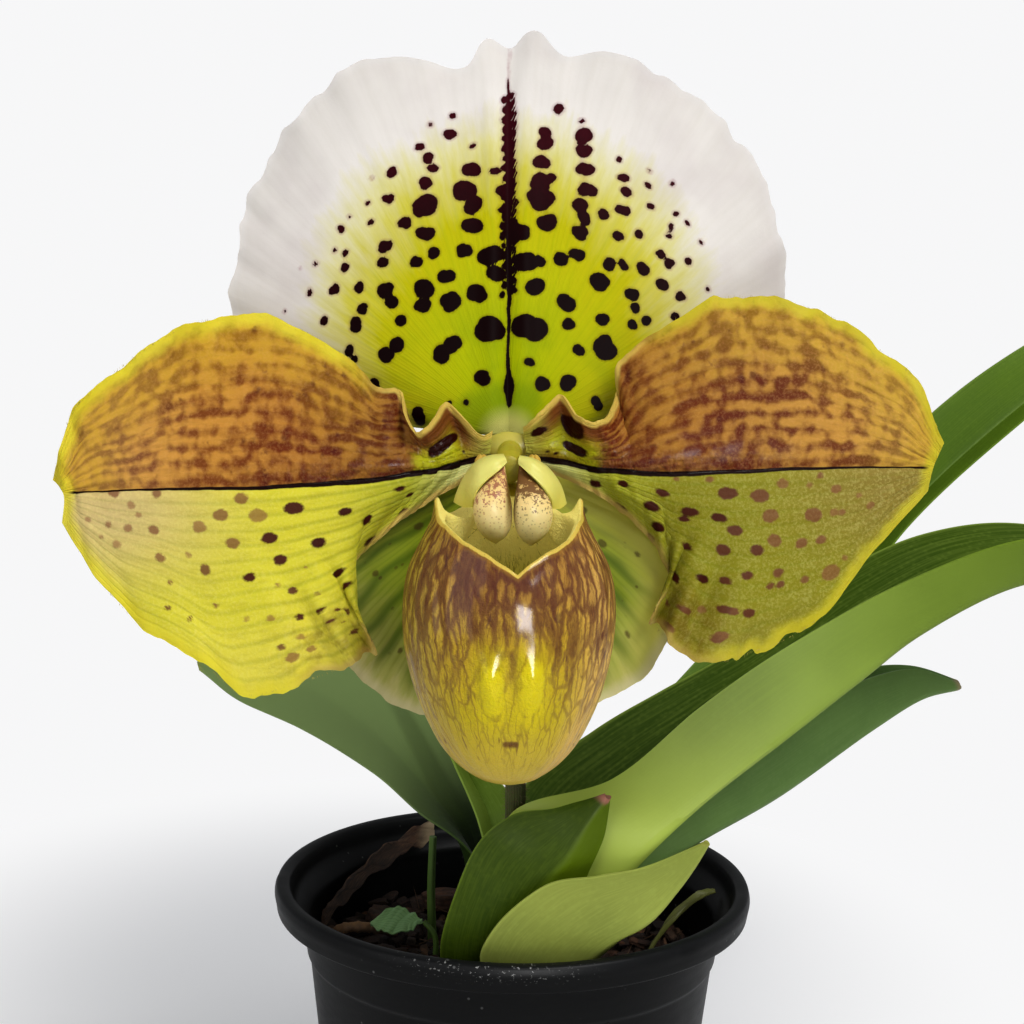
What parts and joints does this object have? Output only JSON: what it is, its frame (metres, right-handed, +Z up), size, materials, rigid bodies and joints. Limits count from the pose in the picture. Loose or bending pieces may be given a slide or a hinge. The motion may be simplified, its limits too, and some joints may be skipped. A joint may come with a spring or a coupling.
{
  "type": "potted paphiopedilum orchid",
  "caption": "Potted slipper orchid: one upright flower with a spotted hooded sepal, broad ruffled petals and a veined pouch, above strap leaves in a round nursery pot.",
  "frame": {"origin": "centre of the pot's flat underside", "axes": "+Z up; the flower faces -Y; +X is to the right of someone who faces the flower"},
  "size_m": [0.1922, 0.1581, 0.2186],
  "materials": {
    "pot_plastic": "satin",
    "potting_mix": "matte",
    "crown_tissue": "matte",
    "leaf": "satin",
    "leaf_pale": "satin",
    "stem": "matte",
    "bract": "matte",
    "sepal": "satin",
    "sepal_green": "satin",
    "petal": "satin",
    "pouch": "gloss",
    "column": "satin",
    "staminode": "satin",
    "pollen": "matte",
    "sprout": "satin",
    "dry_grass": "matte",
    "dried_leaf": "matte",
    "root": "matte",
    "bark": "matte"
  },
  "bodies": {
    "root": {"pot": "pot_plastic", "potting_medium": "potting_mix", "crown": "crown_tissue", "leaf_front_right": "leaf", "leaf_short_sheath": "leaf", "leaf_basal_pale": "leaf_pale", "leaf_low_right": "leaf", "leaf_high_right": "leaf", "leaf_left": "leaf", "leaf_inner_left": "leaf", "scape": "stem", "ovary": "stem", "bract": "bract", "dorsal_sepal": "sepal", "synsepal": "sepal_green", "petal_left": "petal", "petal_right": "petal", "pouch": "pouch", "column": "column", "staminode": "staminode", "anther_left": "pollen", "anther_right": "pollen", "stigma": "column", "sprout_stalk": "sprout", "sprout_petiole": "sprout", "sprout_leaf": "sprout", "grass_blade": "dry_grass", "dried_leaf": "dried_leaf", "root_strand": "root", "bark_chip_1": "bark", "bark_chip_2": "bark", "bark_chip_3": "bark", "bark_chip_4": "bark", "bark_chip_5": "bark", "bark_chip_6": "bark", "bark_chip_7": "bark"}
  },
  "joints": []
}
